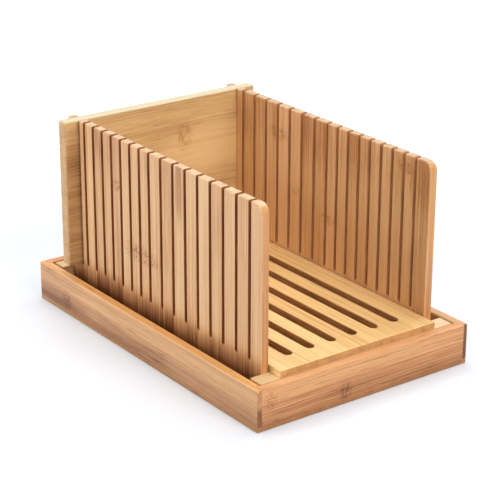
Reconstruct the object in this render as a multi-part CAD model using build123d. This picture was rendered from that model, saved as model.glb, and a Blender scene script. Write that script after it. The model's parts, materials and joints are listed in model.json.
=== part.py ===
from build123d import *
import os

# Bread slicer guide in bamboo. A crumb tray holds a slotted board on two cross-bars. A guide panel
# full of saw kerfs stands on each side of the board, and a back board drops into both panels.
# Sizes are in millimetres. +X is across, +Y is towards the back board and +Z is up.
# The origin is the middle of the tray's underside. Lengths follow from the kerf pattern.

# Space for the loaf
loaf_width = 167.0  # between the guide panels
loaf_height = 137.8  # from the board's top to the top of the panels

# Guide panels
panel_thickness = 8.0
panel_lift = 1.5  # from the tray's sheet to a panel's lower edge
panel_corner_radius = 8.0  # front top corner
panel_ease = 0.8  # width of the chamfer that takes off a panel's long edges

# Saw kerfs for the knife, counted from the back board forwards
kerf_width = 3.9
kerf_rise = 0.8  # from the board's top to the bottom of a kerf
first_kerf_distance = 11.0  # from the back board's front face to the middle of the first kerf
narrow_pitch = 14.8
wide_pitch = 18.05
rear_pitch_count = 7
front_pitch_count = 8
front_slat_width = 13.75  # what is left in front of the last kerf of the left panel
tail_slat_width = 4.9  # what is left behind the slot for the back board

# Back board
back_board_thickness = 11.0
back_board_wing = 13.5  # how far each end stands out past the panel
back_board_corner_radius = 3.0
back_board_ease = 1.2
back_board_play = 0.3  # behind the board in both slots, and in front of it in the right one
left_slot_front_play = 3.5  # the left slot is cut wider towards the front

# Board that the loaf stands on
deck_thickness = 6.4
deck_side_gap = 1.0  # from the board's edge to a panel
deck_ease = 0.6
crumb_slot_count = 6
crumb_slot_width = 8.1
crumb_slot_pitch = 22.8
crumb_slot_end_margin = 20.2  # from the board's end to the end of a slot
crumb_slot_ease = 0.5

# Cross-bars under the board
crossbar_depth = 14.5
crossbar_height = 32.3
crossbar_end_clearance = 1.4  # to the tray's side walls
crossbar_ease = 0.8

# Crumb tray
tray_wall_thickness = 8.5
tray_tongue_thickness = 4.4  # what the rabbet leaves of a side wall at its ends
tray_sheet_thickness = 4.5
tray_rim_rise = 0.2  # how far the rim stands above the cross-bars
tray_side_trough = 12.5  # from a panel to the tray's side wall
tray_front_clearance = 0.9  # from the front cross-bar to the front wall
tray_rear_clearance = 2.2  # from the rear cross-bar to the rear wall
tray_rim_ease = 0.8
tray_corner_radius = 1.2
tray_sheet_ease = 0.6

# Screws through the cross-bars into the panels' ends
screw_length = 34.0
screw_shank_radius = 1.7
screw_head_radius = 3.3
screw_clearance = 0.45  # from a screw's side to its hole
screw_recess = 0.3  # how far a screw's head lies below the wood
screw_edge_distance = 8.0  # from the cross-bar's upper and lower edges

# Widths and half widths
panel_centre_x = loaf_width / 2 + panel_thickness / 2
panel_outer_x = loaf_width / 2 + panel_thickness
tray_inner_x = panel_outer_x + tray_side_trough
tray_outer_x = tray_inner_x + tray_wall_thickness
tray_tongue_x = tray_outer_x - tray_tongue_thickness
crossbar_length = 2 * (tray_inner_x - crossbar_end_clearance)
deck_width = loaf_width - 2 * deck_side_gap
back_board_width = 2 * (panel_outer_x + back_board_wing)

# Lengths, from the kerf pattern of the left panel
left_pattern_length = rear_pitch_count * narrow_pitch + front_pitch_count * wide_pitch
panel_tail_length = tail_slat_width + back_board_play + back_board_thickness
panel_front_length = first_kerf_distance + left_pattern_length + kerf_width / 2 + front_slat_width
panel_length = panel_tail_length + panel_front_length
deck_length = panel_length + 2 * crossbar_depth
tray_inner_length = deck_length + tray_front_clearance + tray_rear_clearance
tray_length = tray_inner_length + 2 * tray_wall_thickness

# Places along Y
tray_inner_front_y = -tray_inner_length / 2
slicer_front_y = tray_inner_front_y + tray_front_clearance
slicer_rear_y = slicer_front_y + deck_length
slicer_middle_y = slicer_front_y + deck_length / 2
front_crossbar_y = slicer_front_y + crossbar_depth / 2
rear_crossbar_y = slicer_rear_y - crossbar_depth / 2
panel_rear_y = slicer_rear_y - crossbar_depth
back_board_rear_y = panel_rear_y - tail_slat_width - back_board_play
back_board_front_y = back_board_rear_y - back_board_thickness
first_kerf_y = back_board_front_y - first_kerf_distance

# Heights
sheet_top_z = tray_sheet_thickness
crossbar_top_z = sheet_top_z + crossbar_height
rim_z = crossbar_top_z + tray_rim_rise
deck_top_z = crossbar_top_z + deck_thickness
panel_bottom_z = sheet_top_z + panel_lift
panel_top_z = deck_top_z + loaf_height
panel_height = panel_top_z - panel_bottom_z
kerf_floor_z = deck_top_z + kerf_rise

on_centre = (Align.CENTER, Align.CENTER, Align.MIN)


def evenly_spaced(count, spacing):
    """Places along a line, the same distance apart and centred on zero."""
    start = -spacing * (count - 1) / 2
    return [start + spacing * step for step in range(count)]


def turned_screw(extra, recess):
    """A countersunk screw along +Z, its head's face at zero.

    The hole for it is wider by extra, and its cone runs on out of the wood by the recess."""
    head = screw_head_radius + extra + recess
    shank = screw_shank_radius + extra
    cone_end = screw_head_radius - screw_shank_radius
    end = screw_length + extra
    half_outline = Polyline(
        (0, -recess), (head, -recess), (shank, cone_end), (shank, end), (0, end), close=True)
    return revolve(Plane.XZ * make_face(half_outline), Axis.Z)


def placed(shape, seats):
    """One copy of a shape on each seat."""
    return [seat * shape for seat in seats]


def drilled(wood, cutters):
    """Wood with the holes for its screws."""
    for cutter in cutters:
        wood -= cutter
    return wood


def edges_round_faces(solid, axis):
    """All the edges round a board's two broad faces."""
    faces = solid.faces().sort_by(axis)
    return faces[0].edges() + faces[-1].edges()


def kerf_places(rear_pitch, front_pitch):
    """Y of the middle of each kerf, from the back board forwards."""
    places = [first_kerf_y]
    for pitch in [rear_pitch] * rear_pitch_count + [front_pitch] * front_pitch_count:
        places.append(places[-1] - pitch)
    return places


def guide_panel(side, rear_pitch, front_pitch, slot_front_play):
    """A board with one rounded corner and eased edges, sawn through from its top."""
    profile = Pos(panel_rear_y, panel_bottom_z) * Rectangle(
        panel_length, panel_height, align=(Align.MAX, Align.MIN))
    front_top_corner = profile.vertices().group_by(Axis.Y)[-1].sort_by(Axis.X)[0]
    profile = fillet(front_top_corner, panel_corner_radius)
    low_x = side * panel_centre_x - panel_thickness / 2
    face_plane = Plane.YZ.offset(low_x)
    board = extrude(face_plane * profile, panel_thickness)
    board = chamfer(edges_round_faces(board, Axis.X), panel_ease)

    # Each kerf ends in a half round at its bottom and runs out of the panel's top.
    kerf_length = panel_top_z - kerf_floor_z + kerf_width
    kerf = Pos(0, kerf_floor_z + kerf_length / 2) * SlotOverall(kerf_length, kerf_width, 90)
    for place in kerf_places(rear_pitch, front_pitch):
        board -= extrude(face_plane * Pos(place, 0) * kerf, panel_thickness)

    # The slot for the back board ends level with the top of the loaf's board.
    slot_width = slot_front_play + back_board_thickness + back_board_play
    slot = Pos(back_board_rear_y + back_board_play, deck_top_z) * Rectangle(
        slot_width, 2 * loaf_height, align=(Align.MAX, Align.MIN))
    board -= extrude(face_plane * slot, panel_thickness)
    return board


def crossbar(middle_y):
    """A bar across the tray, with the edges of its ends eased."""
    bar = Pos(0, middle_y, sheet_top_z) * Box(
        crossbar_length, crossbar_depth, crossbar_height, align=on_centre)
    return chamfer(edges_round_faces(bar, Axis.X), crossbar_ease)


def tray_side_wall(side):
    """A wall as long as the tray, with a rabbet at each end for the end walls."""
    middle_x = side * (tray_inner_x + tray_outer_x) / 2
    wall = Pos(middle_x, 0, sheet_top_z) * Box(
        tray_wall_thickness, tray_length, rim_z - sheet_top_z, align=on_centre)
    corners = wall.edges().filter_by(Axis.Z).group_by(Axis.X)[-1 if side > 0 else 0]
    wall = fillet(corners, tray_corner_radius)
    wall = chamfer(wall.faces().sort_by(Axis.Z)[-1].edges(), tray_rim_ease)
    rabbet_x = side * (tray_inner_x + tray_tongue_x) / 2
    rabbet_width = tray_tongue_x - tray_inner_x
    for end in (-1, 1):
        rabbet_y = end * (tray_length - tray_wall_thickness) / 2
        wall -= Pos(rabbet_x, rabbet_y, sheet_top_z) * Box(
            rabbet_width, tray_wall_thickness, rim_z, align=on_centre)
    return wall


def tray_end_wall(end):
    """A wall that fits into the rabbets of both side walls."""
    middle_y = end * (tray_inner_length + tray_wall_thickness) / 2
    wall = Pos(0, middle_y, sheet_top_z) * Box(
        2 * tray_tongue_x, tray_wall_thickness, rim_z - sheet_top_z, align=on_centre)
    rim = wall.faces().sort_by(Axis.Z)[-1].edges().filter_by(Axis.X)
    return chamfer(rim, tray_rim_ease)


# A plane at each screw's head, pointing the way the screw goes in
screw_seats = []
for side in (-1, 1):
    for height in (sheet_top_z + screw_edge_distance, crossbar_top_z - screw_edge_distance):
        front_head = (side * panel_centre_x, slicer_front_y + screw_recess, height)
        rear_head = (side * panel_centre_x, slicer_rear_y - screw_recess, height)
        screw_seats.append(Plane(front_head, x_dir=(1, 0, 0), z_dir=(0, 1, 0)))
        screw_seats.append(Plane(rear_head, x_dir=(1, 0, 0), z_dir=(0, -1, 0)))

screws = placed(turned_screw(0, 0), screw_seats)
screw_holes = placed(turned_screw(screw_clearance, screw_recess), screw_seats)

# The board that the loaf stands on
deck = Pos(0, slicer_middle_y, crossbar_top_z) * Box(
    deck_width, deck_length, deck_thickness, align=on_centre)
deck = chamfer(deck.faces().sort_by(Axis.Z)[-1].edges(), deck_ease)
crumb_slot_length = deck_length - 2 * crumb_slot_end_margin
crumb_slot = Pos(0, slicer_middle_y, crossbar_top_z) * extrude(
    SlotOverall(crumb_slot_length, crumb_slot_width, 90), deck_thickness)
for slot_x in evenly_spaced(crumb_slot_count, crumb_slot_pitch):
    deck -= Pos(slot_x, 0, 0) * crumb_slot
slot_mouths = [wire.edges() for wire in deck.faces().sort_by(Axis.Z)[-1].inner_wires()]
deck = chamfer([edge for mouth in slot_mouths for edge in mouth], crumb_slot_ease)

# The back board stands on the loaf's board, and its top is level with the panels.
back_board_profile = Pos(0, deck_top_z) * Rectangle(
    back_board_width, loaf_height, align=(Align.CENTER, Align.MIN))
back_board_profile = fillet(back_board_profile.vertices(), back_board_corner_radius)
back_board = extrude(Plane.XZ.offset(-back_board_rear_y) * back_board_profile, back_board_thickness)
back_board = chamfer(edges_round_faces(back_board, Axis.Y), back_board_ease)

# The sheet under the tray's walls
sheet = extrude(
    RectangleRounded(2 * tray_outer_x, tray_length, tray_corner_radius), tray_sheet_thickness)
sheet = chamfer(sheet.faces().sort_by(Axis.Z)[0].edges(), tray_sheet_ease)

left_panel = guide_panel(-1, narrow_pitch, wide_pitch, left_slot_front_play)
right_panel = guide_panel(1, wide_pitch, narrow_pitch, back_board_play)

nodes = {
    "tray_left_wall": tray_side_wall(-1),
    "tray_right_wall": tray_side_wall(1),
    "tray_front_wall": tray_end_wall(-1),
    "tray_rear_wall": tray_end_wall(1),
    "tray_bottom": sheet,
    "front_crossbar": drilled(crossbar(front_crossbar_y), screw_holes),
    "rear_crossbar": drilled(crossbar(rear_crossbar_y), screw_holes),
    "base_board": deck,
    "left_guide_panel": drilled(left_panel, screw_holes),
    "right_guide_panel": drilled(right_panel, screw_holes),
    "panel_screws": Compound(screws),
    "back_board": back_board,
}

os.makedirs("parts", exist_ok=True)
for name, solid in nodes.items():
    export_step(solid, f"parts/{name}.step")
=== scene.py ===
import json
import math

import bmesh
import bpy
from mathutils import Matrix, Vector


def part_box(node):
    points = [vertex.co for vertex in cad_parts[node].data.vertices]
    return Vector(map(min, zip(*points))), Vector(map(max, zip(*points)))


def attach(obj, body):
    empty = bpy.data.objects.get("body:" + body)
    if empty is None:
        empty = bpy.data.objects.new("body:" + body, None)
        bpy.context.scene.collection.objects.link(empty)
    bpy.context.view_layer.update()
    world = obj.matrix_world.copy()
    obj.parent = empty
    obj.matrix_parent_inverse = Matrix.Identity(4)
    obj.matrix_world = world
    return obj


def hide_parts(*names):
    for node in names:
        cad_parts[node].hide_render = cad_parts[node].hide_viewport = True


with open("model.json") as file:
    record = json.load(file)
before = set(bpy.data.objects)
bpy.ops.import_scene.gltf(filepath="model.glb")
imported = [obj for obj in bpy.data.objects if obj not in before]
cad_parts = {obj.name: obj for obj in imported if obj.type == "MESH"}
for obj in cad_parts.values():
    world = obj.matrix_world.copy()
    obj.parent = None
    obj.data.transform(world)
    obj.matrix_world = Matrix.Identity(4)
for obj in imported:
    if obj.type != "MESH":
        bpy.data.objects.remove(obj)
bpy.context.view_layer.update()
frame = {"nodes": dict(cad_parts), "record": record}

scene = bpy.context.scene
MM = 0.001

# Places and sizes on the boards are in millimetres, in the frame's own axes: X across, Y towards
# the back board, Z up. The grain of a board runs along one axis, and its strips lie side by side
# along another.


def linear(hex_colour):
    """An sRGB hex colour as linear red, green, blue and alpha."""
    channels = [int(hex_colour[place:place + 2], 16) / 255 for place in (1, 3, 5)]
    return tuple(c / 12.92 if c <= 0.04045 else ((c + 0.055) / 1.055) ** 2.4 for c in channels) + (1,)


def add_node(tree, kind, inputs=None, **settings):
    """Adds a node with its settings, and fills its inputs with values or from other nodes."""
    node = tree.nodes.new(kind)
    for name, value in settings.items():
        setattr(node, name, value)
    for name, value in (inputs or {}).items():
        if isinstance(value, bpy.types.Node):
            value = value.outputs[0]
        if isinstance(value, bpy.types.NodeSocket):
            tree.links.new(value, node.inputs[name])
        else:
            node.inputs[name].default_value = value
    return node


def on_axes(values, elsewhere=0.0):
    """Values given for some axes by letter, as one value each for X, Y and Z."""
    return tuple(values.get(axis, elsewhere) for axis in "XYZ")


def empty_material(name):
    """A material with no nodes yet, and its node tree."""
    material = bpy.data.materials.new(name)
    material.use_nodes = True
    material.node_tree.nodes.clear()
    return material, material.node_tree


# Bamboo

BROWN = "#74431F"  # the darkest fibres, and the scars where a cane had its rings
MIDDLE_TONE = 0.35  # tones go from 0, the palest, to 1, the brown
DARK_TONE = 0.7
CLOUD_AMOUNT = 0.55  # how strongly the broad clouds in a strip show
GLUE_LINE_WIDTH = 0.7  # wider than on the real boards, so that it shows
GLUE_DARKNESS = 0.16
RING_CORE = 0.35  # the share of a ring's scar that isn't soft
STRIP_STEP = 1.37  # how far the noise moves on from one strip to the next


def stretched_noise(tree, place, number, sizes, detail, distortion=0.0):
    """Noise drawn out to the sizes given for X, Y and Z. Each number gives another pattern."""
    scaled = add_node(tree, "ShaderNodeMapping", {
        "Vector": place, "Scale": tuple(1 / (size * MM) for size in sizes)})
    return add_node(tree, "ShaderNodeTexNoise", {
        "Vector": scaled, "W": number, "Scale": 1.0, "Detail": detail, "Roughness": 0.6,
        "Distortion": distortion}, noise_dimensions="4D")


def oval(tree, place, along, across, spot, core):
    """One within an oval on a board, and zero outside it. The core is the share that isn't soft."""
    centre_along, centre_across, half_length, half_width = spot
    squashed = add_node(tree, "ShaderNodeMapping", {
        "Vector": place,
        "Location": on_axes({along: -centre_along / half_length, across: -centre_across / half_width}),
        "Scale": on_axes({along: 1 / (half_length * MM), across: 1 / (half_width * MM)})})
    reach = add_node(tree, "ShaderNodeVectorMath", {0: squashed}, operation="LENGTH")
    return add_node(tree, "ShaderNodeMapRange", {
        "Value": reach.outputs["Value"], "From Min": 1.0, "From Max": core},
        interpolation_type="SMOOTHSTEP")


def bamboo(name, along, across, pale, middle, dark, strips, seam, seed, spread=0.3, slope=0.0,
           pores=0.35, wander=0.0, contrast=1.2, marks=(), rings=()):
    """Strips of bamboo glued side by side, planed and oiled, where the long grain shows.

    The grain runs along one axis, and the strips lie side by side across it. Seam is where two
    strips meet, and strips holds the width of those before it and of those behind it. Every strip
    has its own tone, fine long streaks, and brown pores where a bundle of fibres comes to the
    surface. Spread is how far the tones differ, and slope is how much paler each strip is than
    the last. Pores is how dark the pores are, wander is how far the fibres stray sideways, and
    contrast is how strongly the streaks show. A mark is an oval that is darker or paler. A ring
    is the speckled scar across a strip where its cane had one. Both start with the oval's middle
    and half sizes, along the grain and across it. Then a mark has its core and how much darker
    it is, and a ring has its strength."""
    material, tree = empty_material(name)
    place = add_node(tree, "ShaderNodeTexCoord").outputs["Object"]
    axes = add_node(tree, "ShaderNodeSeparateXYZ", {0: place}).outputs
    counts = [
        add_node(tree, "ShaderNodeMath", {0: axes[across], 1: 1 / (width * MM), 2: -seam / width},
                 operation="MULTIPLY_ADD") for width in strips]
    counted = add_node(tree, "ShaderNodeMath", {0: counts[0], 1: counts[1]},
                       operation="MAXIMUM" if strips[1] < strips[0] else "MINIMUM")
    count = add_node(tree, "ShaderNodeMath", {0: counted}, operation="FLOOR")
    number = add_node(tree, "ShaderNodeMath", {0: count, 1: STRIP_STEP, 2: seed},
                      operation="MULTIPLY_ADD")
    tone = add_node(tree, "ShaderNodeTexWhiteNoise", {"W": number}, noise_dimensions="1D")

    fibres = place
    if wander:
        bends = stretched_noise(tree, place, 0.0, on_axes({along: 95.0}, 25.0), 1.0)
        fibres = add_node(tree, "ShaderNodeVectorMath", {
            0: bends, 1: on_axes({across: wander * MM}), 2: place}, operation="MULTIPLY_ADD")

    # Fibres are 0.2 mm across on the real boards. Streaks and pores are drawn wider, so they show.
    streaks = stretched_noise(tree, fibres, number, on_axes({along: 160.0}, 1.25), 4.0)
    clouds = stretched_noise(tree, fibres, number, on_axes({along: 120.0}, 12.0), 2.0, 0.4)
    bundles = stretched_noise(tree, fibres, number, on_axes({along: 24.0}, 0.9), 2.0)
    pore = add_node(tree, "ShaderNodeMapRange", {
        "Value": bundles, "From Min": 0.57, "From Max": 0.7, "To Max": pores})

    # A dark glue line where two strips meet. Here a strip is one wide, from seam to seam.
    glue_half_width = 0.5 * GLUE_LINE_WIDTH / strips[0]
    fraction = add_node(tree, "ShaderNodeMath", {0: counted}, operation="FRACT")
    centred = add_node(tree, "ShaderNodeMath", {0: fraction, 1: 0.5}, operation="SUBTRACT")
    from_middle = add_node(tree, "ShaderNodeMath", {0: centred}, operation="ABSOLUTE")
    glue = add_node(tree, "ShaderNodeMapRange", {
        "Value": from_middle, "From Min": 0.5 - glue_half_width, "From Max": 0.5,
        "To Max": GLUE_DARKNESS})

    # How dark the wood is: the sum of all of these. Tone, streaks and clouds lie around a half.
    amounts = [(tone, spread), (streaks, contrast), (clouds, CLOUD_AMOUNT), (pore, 1.0),
               (glue, 1.0), (count, -slope)]
    for *spot, core, change in marks:
        amounts.append((oval(tree, fibres, along, across, spot, core), change))
    if rings:
        speckles = stretched_noise(tree, place, number, on_axes({along: 1.9}, 4.2), 2.0, 1.3)
        scar = add_node(tree, "ShaderNodeMapRange", {
            "Value": speckles, "From Min": 0.46, "From Max": 0.62, "To Min": 0.12, "To Max": 1.0})
    for *spot, strength in rings:
        inside = oval(tree, place, along, across, spot, RING_CORE)
        scarred = add_node(tree, "ShaderNodeMath", {0: inside, 1: scar}, operation="MULTIPLY")
        amounts.append((scarred, strength))
    value = MIDDLE_TONE - 0.5 * (spread + contrast + CLOUD_AMOUNT)
    for pattern, amount in amounts:
        value = add_node(tree, "ShaderNodeMath", {0: pattern, 1: amount, 2: value},
                         operation="MULTIPLY_ADD")

    colours = add_node(tree, "ShaderNodeValToRGB", {"Fac": value})
    stops = colours.color_ramp.elements
    stops[0].position = 0.0
    stops[0].color = linear(pale)
    stops[1].position = 1.0
    stops[1].color = linear(BROWN)
    for position, colour in ((MIDDLE_TONE, middle), (DARK_TONE, dark)):
        stops.new(position).color = linear(colour)

    # Oil lies unevenly, and the streaks stand up a little where the plane has passed
    roughness = add_node(tree, "ShaderNodeMapRange", {
        "Value": clouds, "From Min": 0.3, "From Max": 0.7, "To Min": 0.36, "To Max": 0.52})
    relief = add_node(tree, "ShaderNodeBump", {
        "Height": streaks, "Strength": 0.35, "Distance": 0.15 * MM})
    shader = add_node(tree, "ShaderNodeBsdfPrincipled", {
        "Base Color": colours, "Roughness": roughness, "Normal": relief, "IOR": 1.5})
    add_node(tree, "ShaderNodeOutputMaterial", {"Surface": shader})
    return material


BUNDLE_SPACING = 1.5
# Heights in millimetres between which a tray wall's end is painted darker, as shade towards the floor
LOW_SHADE_STARTS = 24.0
LOW_SHADE_DARKEST = 16.0


def end_grain(name, pale, dark, low_painted_shade=0.0):
    """Bamboo cut square across its fibres and sanded: pale, with a brown dot for each bundle.

    Bundles are 0.5 mm apart on the real boards, and are drawn 1.5 mm apart so that they show.
    Low painted shade is how much darker the lower part of a tray wall's end is painted, as shade
    towards the floor."""
    material, tree = empty_material(name)
    place = add_node(tree, "ShaderNodeTexCoord").outputs["Object"]
    cells = add_node(tree, "ShaderNodeTexVoronoi", {
        "Vector": place, "Scale": 1 / (BUNDLE_SPACING * MM)})
    dots = add_node(tree, "ShaderNodeMapRange", {
        "Value": cells.outputs["Distance"], "From Min": 0.2, "From Max": 0.45, "To Min": 0.55,
        "To Max": 0.0})
    patches = add_node(tree, "ShaderNodeTexNoise", {
        "Vector": place, "Scale": 1 / (9 * MM), "Detail": 3.0})
    wear = add_node(tree, "ShaderNodeMapRange", {
        "Value": patches, "From Min": 0.35, "From Max": 0.7, "To Max": 0.5})
    axes = add_node(tree, "ShaderNodeSeparateXYZ", {0: place}).outputs
    # Painted shade: the lower part of a wall's end darkens towards the floor
    low = add_node(tree, "ShaderNodeMapRange", {
        "Value": axes["Z"], "From Min": LOW_SHADE_STARTS * MM, "From Max": LOW_SHADE_DARKEST * MM,
        "To Max": low_painted_shade})
    amount = add_node(tree, "ShaderNodeMath", {0: dots, 1: wear}, operation="ADD")
    amount = add_node(tree, "ShaderNodeMath", {0: amount, 1: low}, operation="ADD", use_clamp=True)
    colour = add_node(tree, "ShaderNodeMix", {0: amount, 6: linear(pale), 7: linear(dark)},
                      data_type="RGBA")
    relief = add_node(tree, "ShaderNodeBump", {
        "Height": cells.outputs["Distance"], "Strength": 0.3, "Distance": 0.1 * MM})
    shader = add_node(tree, "ShaderNodeBsdfPrincipled", {
        "Base Color": colour.outputs[2], "Roughness": 0.58, "Normal": relief, "IOR": 1.5})
    add_node(tree, "ShaderNodeOutputMaterial", {"Surface": shader})
    return material


def scorched_and_shaded_cut(name, along, pale, dark):
    """Bamboo as a saw or a cutter leaves it: browned by the heat, dull, with lines along the cut.
    Its darkness is partly that browning and partly painted shade inside the narrow cuts and slots.
    """
    material, tree = empty_material(name)
    place = add_node(tree, "ShaderNodeTexCoord").outputs["Object"]
    lines = stretched_noise(tree, place, 0.0, on_axes({along: 30.0}, 1.3), 3.0)
    amount = add_node(tree, "ShaderNodeMapRange", {
        "Value": lines, "From Min": 0.32, "From Max": 0.66})
    colour = add_node(tree, "ShaderNodeMix", {0: amount, 6: linear(pale), 7: linear(dark)},
                      data_type="RGBA")
    relief = add_node(tree, "ShaderNodeBump", {
        "Height": lines, "Strength": 0.5, "Distance": 0.2 * MM})
    shader = add_node(tree, "ShaderNodeBsdfPrincipled", {
        "Base Color": colour.outputs[2], "Roughness": 0.75, "Normal": relief, "IOR": 1.5})
    add_node(tree, "ShaderNodeOutputMaterial", {"Surface": shader})
    return material


def zinc_plated_steel():
    """Steel wire turned into screws and zinc plated: a soft grey metal with faint blotches."""
    material, tree = empty_material("zinc_plated_steel")
    place = add_node(tree, "ShaderNodeTexCoord").outputs["Object"]
    blotches = add_node(tree, "ShaderNodeTexNoise", {
        "Vector": place, "Scale": 1 / (2.5 * MM), "Detail": 3.0})
    colour = add_node(tree, "ShaderNodeMix", {
        0: blotches, 6: linear("#D3D0C8"), 7: linear("#A9A69E")}, data_type="RGBA")
    roughness = add_node(tree, "ShaderNodeMapRange", {
        "Value": blotches, "From Min": 0.3, "From Max": 0.7, "To Min": 0.24, "To Max": 0.42})
    shader = add_node(tree, "ShaderNodeBsdfPrincipled", {
        "Base Color": colour.outputs[2], "Metallic": 1.0, "Roughness": roughness})
    add_node(tree, "ShaderNodeOutputMaterial", {"Surface": shader})
    return material


LONG = 1000.0  # for a mark that reaches right across a board
WALL_STRIPS = (17.5, 17.5)  # each tray wall is two strips high, the lower one streaky and painted darker, as shade towards the floor
WALL_SEAM = 22.0
FLAT_STRIPS = (21.0, 21.0)
FLAT_SEAM = 10.0
NARROW_PITCH = 14.8
WIDE_PITCH = 18.05

tray_side_wood = bamboo(
    "planed_tray_side_bamboo", "Y", "Z", "#F0C294", "#E0AD78", "#BA855C",
    strips=WALL_STRIPS, seam=WALL_SEAM, seed=11.7,
    # Slope paints the lower strip darker than the upper, and the first mark darkens the wall's foot:
    # both are painted shade towards the floor
    spread=0.1, slope=0.12, pores=0.25, wander=8.0, contrast=0.95,
    marks=((0.0, 2.0, LONG, 28.0, 0.35, 0.3), (140.0, 18.0, 70.0, LONG, 0.1, 0.14)),
    rings=((122.0, 14.0, 10.0, 11.0, 0.3),))
# A darker copy of the tray side bamboo, as painted shade on the wall seen from inside. Its slope also
# paints the lower strip darker, as shade towards the floor
tray_right_wood = bamboo(
    "planed_tray_right_bamboo", "Y", "Z", "#DFB185", "#CF9D6A", "#AB774D",
    strips=WALL_STRIPS, seam=WALL_SEAM, seed=17.9,
    spread=0.1, slope=0.2, pores=0.25, wander=5.0, contrast=0.95)
rim_wood = bamboo(
    "planed_tray_rim_bamboo", "Y", "X", "#F2BE7C", "#E2A662", "#B97D44",
    strips=(50.0, 50.0), seam=0.0, seed=29.3,
    spread=0.1, pores=0.4, wander=4.0)
tray_end_wood = bamboo(
    "planed_tray_end_bamboo", "X", "Z", "#EAB47E", "#DC9F68", "#BA7D4F",
    strips=WALL_STRIPS, seam=WALL_SEAM, seed=23.7,
    # Slope paints the lower strip darker than the upper, and the mark darkens the wall's foot: both
    # are painted shade towards the floor
    spread=0.08, slope=0.1, pores=0.4, wander=4.0, contrast=1.6,
    marks=((0.0, 2.0, LONG, 26.0, 0.3, 0.2),),
    rings=((-100.0, 26.0, 10.0, 12.0, 0.42), (-22.0, 12.0, 9.0, 14.0, 0.32)))
deck_wood = bamboo(
    "planed_deck_bamboo", "Y", "X", "#EED092", "#E3BA7B", "#C58A50",
    strips=FLAT_STRIPS, seam=FLAT_SEAM, seed=37.5,
    # Slope paints each strip a little darker towards the right panel, as shade from it
    spread=0.17, slope=-0.03, pores=0.2,
    rings=((-35.0, 60.0, 3.0, 9.0, 0.25), (70.0, -20.0, 3.0, 9.0, 0.3)))
bar_wood = bamboo(
    "planed_crossbar_bamboo", "X", "Z", "#EFD6A6", "#E3C392", "#C99E68",
    strips=(16.0, 16.0), seam=24.0, seed=41.2,
    spread=0.2,
    # The mark darkens the bars' left ends, as painted shade in the gap between the left panel and the
    # tray wall
    marks=((-95.0, 30.0, 20.0, LONG, 0.6, 0.15),))
# Its colours are painted a shade paler than the right panel's, as light on its lit outer side
left_panel_wood = bamboo(
    "planed_left_panel_bamboo", "Z", "Y", "#EDC496", "#DFAE7C", "#B67F51",
    strips=(WIDE_PITCH, NARROW_PITCH), seam=14.0, seed=53.3,
    spread=0.24, pores=0.18,
    # The first mark darkens the panel's foot, as painted shade above the tray rim. The second darkens
    # the top towards the back board, as painted shade where the light falls off
    marks=((26.0, 0.0, 30.0, LONG, 0.3, 0.5), (178.0, 90.0, 50.0, 90.0, 0.2, 0.14),
           (168.0, -31.1, 55.0, 8.5, 0.3, 0.36)),
    rings=((84.0, 30.0, 12.0, 40.0, 0.46), (138.0, 64.5, 8.0, 10.0, 0.4),
           (32.0, 129.0, 9.0, 9.0, 0.5)))
# A darker, more saturated copy of the left panel's bamboo, as painted shade on its inner side, which
# faces the left panel
right_panel_wood = bamboo(
    "planed_right_panel_bamboo", "Z", "Y", "#EBC08F", "#DBAC7A", "#B07A48",
    strips=(NARROW_PITCH, WIDE_PITCH), seam=-8.75, seed=67.1,
    spread=0.3, pores=0.2,
    # The last two marks paint the top darker and the middle paler, as painted light and shade on the
    # inner face, which is brightest at mid height
    marks=((110.0, 54.4, 120.0, 9.0, 0.8, -0.25), (90.0, -138.0, 150.0, 9.0, 0.8, 0.22),
           (175.0, 0.0, 45.0, LONG, 0.1, 0.12), (85.0, 0.0, 75.0, LONG, 0.3, -0.22)),
    rings=((153.0, 61.0, 10.0, 18.0, 0.4), (91.0, -13.0, 8.0, 16.0, 0.4),
           (104.0, 34.5, 6.0, 12.0, 0.4), (170.0, -116.0, 9.0, 16.0, 0.34)))
panel_edge_wood = bamboo(
    "planed_panel_edge_bamboo", "Z", "X", "#E0A96F", "#D29660", "#AE7644",
    strips=(8.0, 8.0), seam=83.5, seed=71.0,
    spread=0.1, pores=0.25,
    # The mark darkens the lower part of the panels' front edges, as painted shade near their feet
    marks=((30.0, 0.0, 60.0, LONG, 0.4, 0.14),))
back_board_wood = bamboo(
    "planed_back_board_bamboo", "X", "Z", "#E8C38C", "#D9B17A", "#B3824F",
    strips=(23.0, 23.0), seam=112.0, seed=83.6,
    spread=0.14, slope=-0.03, pores=0.25, wander=14.0, contrast=0.85,
    # The second mark paints the right of the front paler, as painted light against the right panel's
    # shade. The third paints the wing beside the left panel darker, as painted shade in that corner
    marks=((-62.0, 132.0, 42.0, 48.0, 0.25, 0.32), (58.0, 140.0, 75.0, 32.0, 0.3, -0.36),
           (-98.0, 90.0, 13.0, 110.0, 0.5, 0.2)),
    rings=((24.0, 142.0, 12.0, 17.0, 0.55),))
back_board_edge_wood = bamboo(
    "planed_back_board_edge_bamboo", "X", "Y", "#DCCFAE", "#CFC09C", "#B39A70",
    strips=(16.0, 16.0), seam=125.0, seed=89.0,
    spread=0.1, pores=0.2)
sheet_wood = bamboo(
    "planed_tray_sheet_bamboo", "Y", "X", "#D2A471", "#BD8A56", "#95653A",
    strips=FLAT_STRIPS, seam=FLAT_SEAM, seed=97.4,
    spread=0.25)

# The right panel's end grain is a greyer, darker copy of the left's, as painted shade
left_panel_end_wood = end_grain("left_panel_end_grain", "#DEBE98", "#AF885F")
right_panel_end_wood = end_grain("right_panel_end_grain", "#CDB292", "#A27F5C")
board_end_wood = end_grain("board_end_grain", "#D39E60", "#A87040")
back_board_end_wood = end_grain("back_board_end_grain", "#D2AB7D", "#AC8457")
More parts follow.
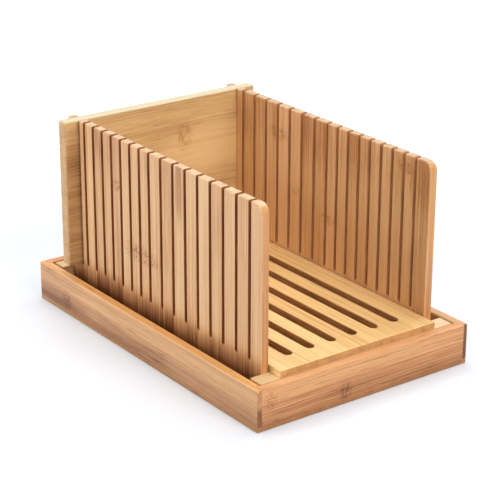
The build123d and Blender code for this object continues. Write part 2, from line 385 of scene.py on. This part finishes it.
# The tray walls' ends are painted darker towards the floor, as shade
wall_end_wood = end_grain("tray_wall_end_grain", "#D1976A", "#84522F", low_painted_shade=0.8)
# A much darker copy of the wall end grain, as painted shade on the right wall
dark_wall_end_wood = end_grain("tray_right_wall_end_grain", "#8A5B3C", "#633C25", low_painted_shade=0.4)
sheet_end_wood = end_grain("tray_sheet_end_grain", "#B47C4D", "#8A5836")

# The cuts' dark colours are partly painted shade inside the narrow kerfs and slots. The left panel's
# cuts are painted darker than the right panel's
left_kerf_wood = scorched_and_shaded_cut("sawn_left_kerf_bamboo", "Z", "#C4824B", "#7E4820")
right_kerf_wood = scorched_and_shaded_cut("sawn_right_kerf_bamboo", "Z", "#DCA46C", "#A87448")
slot_wood = scorched_and_shaded_cut("routed_slot_bamboo", "Y", "#D8A262", "#926030")


# Boards

FACE, END, CUT, EDGE = range(4)
DEEPEST_CORNER = 2.5 * MM  # how far a rounded corner's facets lie inside the board's box


def finish_of(face, box, grain, edge_axis):
    """Which of a board's finishes a face gets, from the way it faces and where it lies."""
    axis = max(range(3), key=lambda number: abs(face.normal[number]))
    outer_side = box[1 if face.normal[axis] > 0 else 0][axis]
    if abs(face.calc_center_median()[axis] - outer_side) > DEEPEST_CORNER:
        return CUT
    if "XYZ"[axis] == grain:
        return END
    return EDGE if "XYZ"[axis] == edge_axis else FACE


def dress_board(node, grain, finishes, rounding, edge_axis=None):
    """A board in its CAD node's place, with its edges rounded over as sandpaper leaves them.

    Its finishes are in the order of face, end, cut and edge. Only a board with an edge axis has
    the last of them."""
    mesh = frame["nodes"][node].data.copy()
    mesh.materials.clear()
    for finish in finishes:
        mesh.materials.append(finish)
    shape = bmesh.new()
    shape.from_mesh(mesh)
    bmesh.ops.remove_doubles(shape, verts=shape.verts, dist=0.001 * MM)
    bmesh.ops.dissolve_limit(
        shape, angle_limit=math.radians(1), verts=shape.verts, edges=shape.edges)
    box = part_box(node)
    for face in shape.faces:
        face.material_index = finish_of(face, box, grain, edge_axis)
        face.smooth = True
    shape.to_mesh(mesh)
    shape.free()
    board = bpy.data.objects.new(node + "_wood", mesh)
    scene.collection.objects.link(board)
    bevel = board.modifiers.new("Rounding", "BEVEL")
    bevel.width = rounding * MM
    bevel.segments = 3
    bevel.limit_method = "ANGLE"
    bevel.angle_limit = math.radians(32)
    normals = board.modifiers.new("Flat faces", "WEIGHTED_NORMAL")
    normals.weight = 50
    bpy.context.view_layer.update()
    graph = bpy.context.evaluated_depsgraph_get()
    board.data = bpy.data.meshes.new_from_object(board.evaluated_get(graph))
    board.modifiers.clear()
    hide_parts(node)
    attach(board, body_of_node[node])


bodies = frame["record"]["behaviour"]["bodies"]
body_of_node = {node: body for body, nodes in bodies.items() for node in nodes}

tray_left_finishes = (tray_side_wood, wall_end_wood, tray_side_wood, rim_wood)
tray_right_finishes = (tray_right_wood, dark_wall_end_wood, tray_right_wood, tray_right_wood)
tray_end_finishes = (tray_end_wood, wall_end_wood, tray_end_wood)
dress_board("tray_left_wall", "Y", tray_left_finishes, 0.5, "Z")
dress_board("tray_right_wall", "Y", tray_right_finishes, 0.5, "Z")
dress_board("tray_front_wall", "X", tray_end_finishes, 0.3)
dress_board("tray_rear_wall", "X", tray_end_finishes, 0.3)
dress_board("tray_bottom", "Y", (sheet_wood, sheet_end_wood, sheet_wood), 0.3)
for crossbar in ("front_crossbar", "rear_crossbar"):
    dress_board(crossbar, "X", (bar_wood, board_end_wood, bar_wood), 0.4)
dress_board("base_board", "Y", (deck_wood, board_end_wood, slot_wood), 0.3)
left_panel_finishes = (left_panel_wood, left_panel_end_wood, left_kerf_wood, panel_edge_wood)
right_panel_finishes = (right_panel_wood, right_panel_end_wood, right_kerf_wood, panel_edge_wood)
dress_board("left_guide_panel", "Z", left_panel_finishes, 0.35, "Y")
dress_board("right_guide_panel", "Z", right_panel_finishes, 0.35, "Y")
back_board_finishes = (
    back_board_wood, back_board_end_wood, back_board_wood, back_board_edge_wood)
dress_board("back_board", "X", back_board_finishes, 0.5, "Z")


# Screws

SCREW_LENGTH = 34.0
HEAD_RADIUS = 3.3
HEAD_RIM = 0.15
HEAD_DEPTH = 1.6
CREST_RADIUS = 1.7
ROOT_RADIUS = 1.25
TIP_RADIUS = 0.75 * ROOT_RADIUS
TIP_DEPTH = SCREW_LENGTH - 0.3
THREAD_PITCH = 1.8
PLAIN_LENGTH = 3 * THREAD_PITCH  # of the shank, before and after the thread
SCREW_SIDES = 20
CROSS_HALF_WIDTH = 0.5
CROSS_REACH = 1.8
CROSS_DEPTH = 1.2
CROSS_TAPER = 0.6  # the cross's size at its floor, as a share of that at its mouth
MERGE_DISTANCE = 0.01 * MM


def ring_of(shape, radius, depth, climb=0.0):
    """A turn of corners round the screw, which climbs along it by the time it closes."""
    corners = []
    for side in range(SCREW_SIDES + 1):
        turn = math.tau * side / SCREW_SIDES
        rise = depth + climb * side / SCREW_SIDES
        corners.append(shape.verts.new(
            (radius * math.cos(turn) * MM, radius * math.sin(turn) * MM, rise * MM)))
    return corners


def join_rings(shape, first, second):
    """Faces between two rings."""
    for side in range(SCREW_SIDES):
        shape.faces.new((first[side], first[side + 1], second[side + 1], second[side]))


def cross_outline(shape, scale, depth):
    """Twelve corners round a cross, in order."""
    near = CROSS_HALF_WIDTH * scale
    far = CROSS_REACH * scale
    corners = []
    for quarter in range(4):
        turned = Matrix.Rotation(math.tau * quarter / 4, 3, "Z")
        for x, y in ((far, -near), (far, near), (near, near)):
            corners.append(shape.verts.new(turned @ Vector((x, y, depth)) * MM))
    return corners


def threaded_screw():
    """One countersunk screw along +Z, its head's face at zero, with a cross to drive it by."""
    shape = bmesh.new()
    rim = ring_of(shape, HEAD_RADIUS, 0.0)
    edge = ring_of(shape, HEAD_RADIUS, HEAD_RIM)
    neck = ring_of(shape, ROOT_RADIUS, HEAD_DEPTH)
    join_rings(shape, rim, edge)
    join_rings(shape, edge, neck)
    turns = int((SCREW_LENGTH - HEAD_DEPTH - PLAIN_LENGTH) / THREAD_PITCH)
    thread_start = HEAD_DEPTH + THREAD_PITCH
    previous = ring_of(shape, ROOT_RADIUS, thread_start, THREAD_PITCH)
    for turn in range(turns):
        depth = thread_start + turn * THREAD_PITCH
        for radius, share in ((CREST_RADIUS, 0.5), (ROOT_RADIUS, 1.0)):
            ring = ring_of(shape, radius, depth + share * THREAD_PITCH, THREAD_PITCH)
            join_rings(shape, previous, ring)
            previous = ring
    tip = ring_of(shape, TIP_RADIUS, TIP_DEPTH)
    join_rings(shape, previous, tip)
    shape.faces.new(ring_of(shape, TIP_RADIUS, TIP_DEPTH)[:-1])
    lead_in = ring_of(shape, ROOT_RADIUS, thread_start, THREAD_PITCH)
    join_rings(shape, neck, lead_in)

    mouth = cross_outline(shape, 1.0, 0.0)
    floor = cross_outline(shape, CROSS_TAPER, CROSS_DEPTH)
    for corner in range(len(mouth)):
        following = (corner + 1) % len(mouth)
        shape.faces.new((mouth[corner], mouth[following], floor[following], floor[corner]))
    shape.faces.new(floor)
    bmesh.ops.remove_doubles(shape, verts=shape.verts, dist=MERGE_DISTANCE)
    head_edges = [side for side in shape.edges if side.is_boundary and all(
        abs(corner.co.z) < MERGE_DISTANCE for corner in side.verts)]
    bmesh.ops.triangle_fill(shape, edges=head_edges, use_beauty=True)
    bmesh.ops.holes_fill(shape, edges=[side for side in shape.edges if side.is_boundary])
    bmesh.ops.recalc_face_normals(shape, faces=shape.faces)
    mesh = bpy.data.meshes.new("threaded_screw")
    shape.to_mesh(mesh)
    shape.free()
    return bpy.data.objects.new("threaded_screw", mesh)


def screws_on_heads():
    """A Geometry Nodes tree that drives one screw in at every point, each turned differently."""
    tree = bpy.data.node_groups.new("screws_on_heads", "GeometryNodeTree")
    sockets = tree.interface
    sockets.new_socket("Heads", in_out="INPUT", socket_type="NodeSocketGeometry")
    sockets.new_socket("Screw", in_out="INPUT", socket_type="NodeSocketObject")
    sockets.new_socket("Length scale", in_out="INPUT", socket_type="NodeSocketFloat")
    sockets.new_socket("Seed", in_out="INPUT", socket_type="NodeSocketInt")
    sockets.new_socket("Finish", in_out="INPUT", socket_type="NodeSocketMaterial")
    sockets.new_socket("Screws", in_out="OUTPUT", socket_type="NodeSocketGeometry")
    given = add_node(tree, "NodeGroupInput").outputs
    inward = add_node(tree, "GeometryNodeInputNamedAttribute", {"Name": "inward"},
                      data_type="FLOAT_VECTOR")
    aimed = add_node(tree, "FunctionNodeAlignRotationToVector", {"Vector": inward}, axis="Z")
    angle = add_node(tree, "FunctionNodeRandomValue", {"Max": math.tau, "Seed": given["Seed"]},
                     data_type="FLOAT")
    spin = add_node(tree, "FunctionNodeAxisAngleToRotation", {
        "Axis": (0.0, 0.0, 1.0), "Angle": angle.outputs["Value"]})
    turned = add_node(tree, "FunctionNodeRotateRotation", {
        "Rotation": aimed, "Rotate By": spin}, rotation_space="LOCAL")
    screw = add_node(tree, "GeometryNodeObjectInfo", {"Object": given["Screw"]})
    size = add_node(tree, "ShaderNodeCombineXYZ", {0: 1.0, 1: 1.0, 2: given["Length scale"]})
    driven = add_node(tree, "GeometryNodeInstanceOnPoints", {
        "Points": given["Heads"], "Instance": screw.outputs["Geometry"], "Rotation": turned,
        "Scale": size})
    real = add_node(tree, "GeometryNodeRealizeInstances", {"Geometry": driven})
    finished = add_node(tree, "GeometryNodeSetMaterial", {
        "Geometry": real, "Material": given["Finish"]})
    add_node(tree, "NodeGroupOutput", {0: finished})
    return tree


def dress_screws(node, finish):
    """All the screws as one mesh, their heads where the CAD has them."""
    low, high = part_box(node)
    middle_x = high[0] - HEAD_RADIUS * MM
    heights = (low[2] + HEAD_RADIUS * MM, high[2] - HEAD_RADIUS * MM)
    places = []
    for x in (-middle_x, middle_x):
        for z in heights:
            places += [(x, low[1], z), (x, high[1], z)]
    heads = bpy.data.meshes.new("screw_heads")
    heads.from_pydata(places, [], [])
    inward = heads.attributes.new("inward", "FLOAT_VECTOR", "POINT")
    for number, place in enumerate(places):
        inward.data[number].vector = (0.0, 1.0 if place[1] < 0 else -1.0, 0.0)
    screws = bpy.data.objects.new("panel_screws_threaded", heads)
    scene.collection.objects.link(screws)
    tree = screws_on_heads()
    values = {"Screw": threaded_screw(), "Length scale": 1.0, "Seed": 5, "Finish": finish}
    modifier = screws.modifiers.new("Screws", "NODES")
    modifier.node_group = tree
    for socket in tree.interface.items_tree:
        if socket.name in values:
            modifier[socket.identifier] = values[socket.name]
    bpy.context.view_layer.update()
    graph = bpy.context.evaluated_depsgraph_get()
    screws.data = bpy.data.meshes.new_from_object(screws.evaluated_get(graph))
    screws.modifiers.clear()
    screws.data.materials.clear()
    screws.data.materials.append(finish)
    bpy.data.objects.remove(values["Screw"])
    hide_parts(node)
    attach(screws, body_of_node[node])


dress_screws("panel_screws", zinc_plated_steel())


# Floor and studio

FLOOR_HALF_SIZE = 6.0  # in metres


def sees_white(tree):
    """One for rays from the camera, and for mirror and glass rays, which show the white studio."""
    path = add_node(tree, "ShaderNodeLightPath").outputs
    seen = add_node(tree, "ShaderNodeMath", {0: path["Is Camera Ray"], 1: path["Is Glossy Ray"]},
                    operation="MAXIMUM")
    return add_node(tree, "ShaderNodeMath", {0: seen, 1: path["Is Transmission Ray"]},
                    operation="MAXIMUM")


def white_paper():
    """Matt white paper. It is brighter to the camera than in the light it sends on to the wood, and
    further out it brightens to plain white, as a lit studio wall behind the object does."""
    material, tree = empty_material("white_paper")
    sent_on = add_node(tree, "ShaderNodeBsdfDiffuse", {"Color": linear("#B4B4B4")})
    paper = add_node(tree, "ShaderNodeBsdfDiffuse", {"Color": linear("#D8DCE2")})
    place = add_node(tree, "ShaderNodeTexCoord").outputs["Object"]
    distance = add_node(tree, "ShaderNodeVectorMath", {0: place}, operation="LENGTH")
    brightening = add_node(tree, "ShaderNodeMapRange", {
        "Value": distance.outputs["Value"], "From Min": 0.3, "From Max": 1.3, "To Min": 0.14,
        "To Max": 1.0})
    glow = add_node(tree, "ShaderNodeEmission", {"Color": linear("#FFFFFF"), "Strength": brightening})
    shown = add_node(tree, "ShaderNodeAddShader", {0: paper, 1: glow})
    both = add_node(tree, "ShaderNodeMixShader", {0: sees_white(tree), 1: sent_on, 2: shown})
    add_node(tree, "ShaderNodeOutputMaterial", {"Surface": both})
    return material


corners = [(x * FLOOR_HALF_SIZE, y * FLOOR_HALF_SIZE, 0)
           for x, y in ((-1, -1), (1, -1), (1, 1), (-1, 1))]
floor_mesh = bpy.data.meshes.new("floor")
floor_mesh.from_pydata(corners, [], [(0, 1, 2, 3)])
floor_mesh.materials.append(white_paper())
floor = bpy.data.objects.new("floor", floor_mesh)
scene.collection.objects.link(floor)

# The studio is white to the camera and in reflections, and its light on matt wood is dim.
world = bpy.data.worlds.new("studio")
world.use_nodes = True
scene.world = world
world.node_tree.nodes.clear()
ambient = add_node(world.node_tree, "ShaderNodeBackground", {"Strength": 0.16})
white = add_node(world.node_tree, "ShaderNodeBackground", {"Strength": 1.0})
for background in (ambient, white):
    background.inputs["Color"].default_value = linear("#FFFFFF")
both = add_node(world.node_tree, "ShaderNodeMixShader", {
    0: sees_white(world.node_tree), 1: ambient, 2: white})
add_node(world.node_tree, "ShaderNodeOutputWorld", {"Surface": both})


OBJECT_MIDDLE = Vector((0, 0, 0.08))


def softbox(name, place, size, power):
    """A square lamp that faces the object's middle. Metres and watts."""
    data = bpy.data.lights.new(name, "AREA")
    data.shape = "SQUARE"
    data.size = size
    data.energy = power
    lamp = bpy.data.objects.new(name, data)
    lamp.location = place
    lamp.rotation_mode = "QUATERNION"
    lamp.rotation_quaternion = (OBJECT_MIDDLE - Vector(place)).to_track_quat("-Z", "Y")
    scene.collection.objects.link(lamp)


softbox("overhead", (0.0, 0.0, 1.6), 1.4, 12.4)
softbox("overhead_rear", (0.2, 0.8, 1.4), 1.0, 8.4)
softbox("front", (0.0, -1.45, 0.756), 0.9, 16.4)
softbox("left", (-1.467, 0.0, 0.392), 0.8, 3.0)
softbox("left_rear", (-1.313, 0.612, 0.468), 0.8, 10.0)
softbox("right", (1.061, 0.0, 1.141), 0.8, 6.0)


# Camera, at the photograph's viewing angle
CAMERA_AZIMUTH = math.radians(-36.52)
CAMERA_ELEVATION = math.radians(21.55)
CAMERA_ROLL = math.radians(0.24)
CAMERA_PLACE = Vector((-0.8494, -1.1544, 0.6426))
CAMERA_LENS = 125.09
SENSOR_WIDTH = 36.0

back = Vector((math.sin(CAMERA_AZIMUTH) * math.cos(CAMERA_ELEVATION),
               -math.cos(CAMERA_AZIMUTH) * math.cos(CAMERA_ELEVATION),
               math.sin(CAMERA_ELEVATION)))
level = Vector((math.cos(CAMERA_AZIMUTH), math.sin(CAMERA_AZIMUTH), 0))
right = math.cos(CAMERA_ROLL) * level + math.sin(CAMERA_ROLL) * back.cross(level)
turned = Matrix((right, back.cross(right), back)).transposed().to_4x4()
camera_data = bpy.data.cameras.new("camera")
camera_data.lens = CAMERA_LENS
camera_data.sensor_width = SENSOR_WIDTH
camera_data.clip_start = 0.05
camera = bpy.data.objects.new("camera", camera_data)
camera.matrix_world = Matrix.Translation(CAMERA_PLACE) @ turned
scene.collection.objects.link(camera)
scene.camera = camera

scene.view_settings.view_transform = "Standard"
